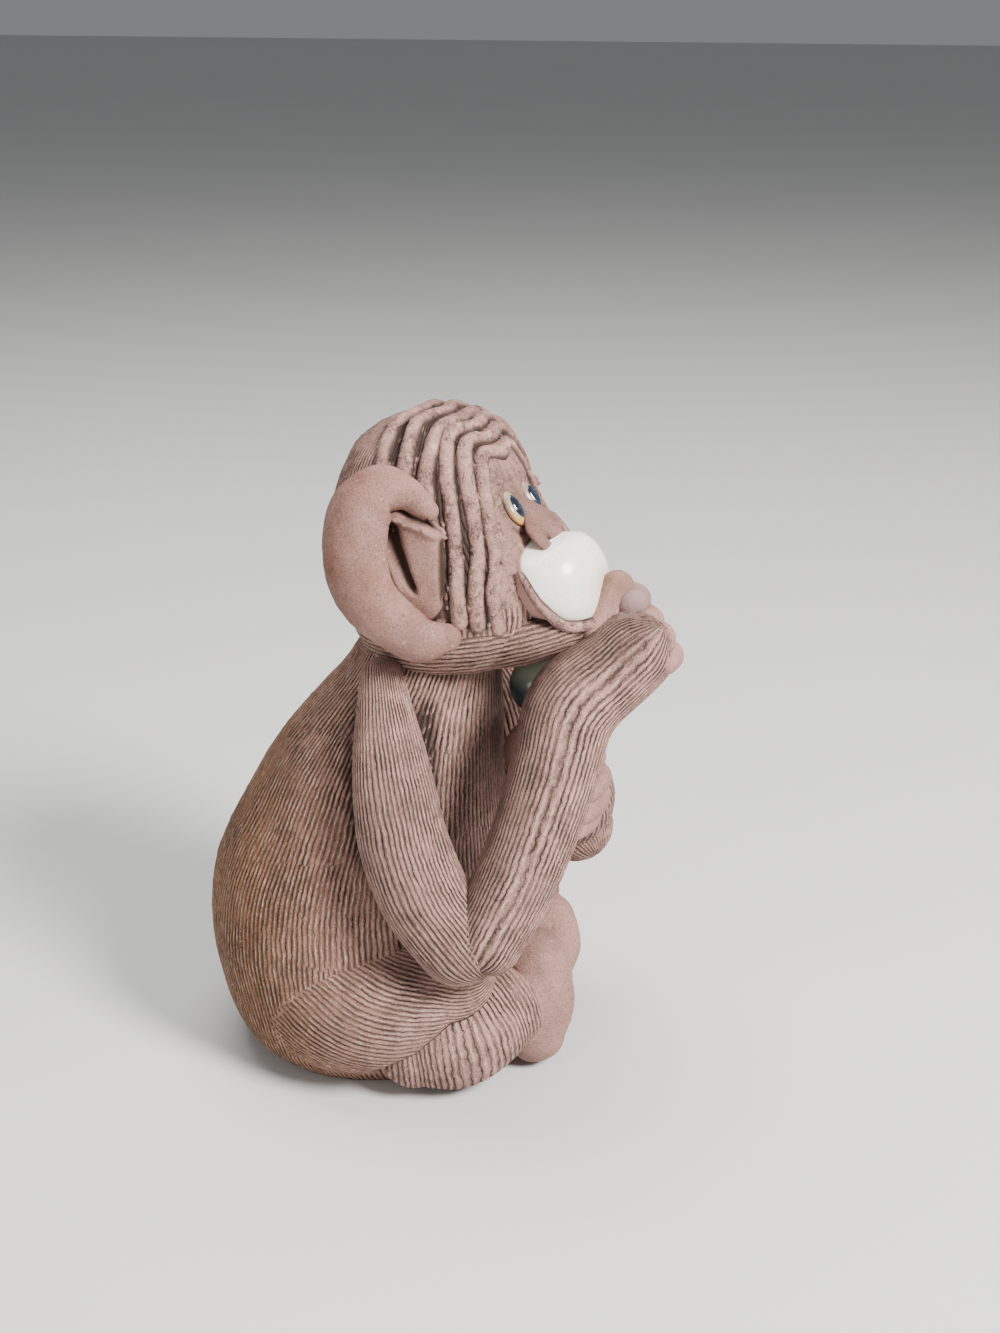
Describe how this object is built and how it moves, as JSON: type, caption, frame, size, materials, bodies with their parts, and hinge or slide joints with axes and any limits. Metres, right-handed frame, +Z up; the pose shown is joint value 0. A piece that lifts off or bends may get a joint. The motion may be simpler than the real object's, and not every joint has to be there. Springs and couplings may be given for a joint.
{
  "type": "monkey figurine",
  "caption": "Hand-built stoneware young chimpanzee seated with its chin up, a fist at its lips, ridged hair, large ears and a small glazed ball under the chin.",
  "frame": {"origin": "centre of the vent hole on the flat underside, on the table", "axes": "+Z up, the monkey faces -Y, its right side is -X"},
  "size_m": [0.0592, 0.0751, 0.101],
  "materials": {
    "combed_clay": "matt unglazed speckled stoneware, combed",
    "smooth_clay": "matt unglazed speckled stoneware, smoothed",
    "white_glaze": "satin white glaze with fine specks",
    "eye_white_glaze": "satin cream and ochre glaze",
    "pupil_glaze": "glossy blue-black glaze",
    "ball_glaze": "glossy grey-green and dark blue glaze"
  },
  "bodies": {
    "root": {"body_shell": "combed_clay", "head_shell": "combed_clay", "base_disc": "combed_clay", "hair_roll_1": "combed_clay", "hair_roll_2": "combed_clay", "hair_roll_3": "combed_clay", "hair_roll_4": "combed_clay", "hair_roll_5": "combed_clay", "hair_roll_6": "combed_clay", "jaw": "combed_clay", "right_palm": "combed_clay", "right_thigh": "combed_clay", "left_thigh": "combed_clay", "right_calf": "combed_clay", "left_calf": "combed_clay", "right_upper_arm": "combed_clay", "left_upper_arm": "combed_clay", "right_forearm": "combed_clay", "left_forearm": "combed_clay", "face_mask": "smooth_clay", "nose": "smooth_clay", "right_ear_rim": "smooth_clay", "right_ear_cup": "smooth_clay", "right_foot": "smooth_clay", "left_ear_rim": "smooth_clay", "left_ear_cup": "smooth_clay", "left_foot": "smooth_clay", "left_palm": "smooth_clay", "right_thumb": "smooth_clay", "right_index_finger": "smooth_clay", "right_middle_finger": "smooth_clay", "right_ring_finger": "smooth_clay", "right_little_finger": "smooth_clay", "left_index_finger": "smooth_clay", "left_middle_finger": "smooth_clay", "left_ring_finger": "smooth_clay", "left_little_finger": "smooth_clay", "muzzle": "white_glaze", "right_eye_white": "eye_white_glaze", "left_eye_white": "eye_white_glaze", "right_pupil": "pupil_glaze", "left_pupil": "pupil_glaze", "glazed_ball": "ball_glaze"}
  },
  "joints": []
}
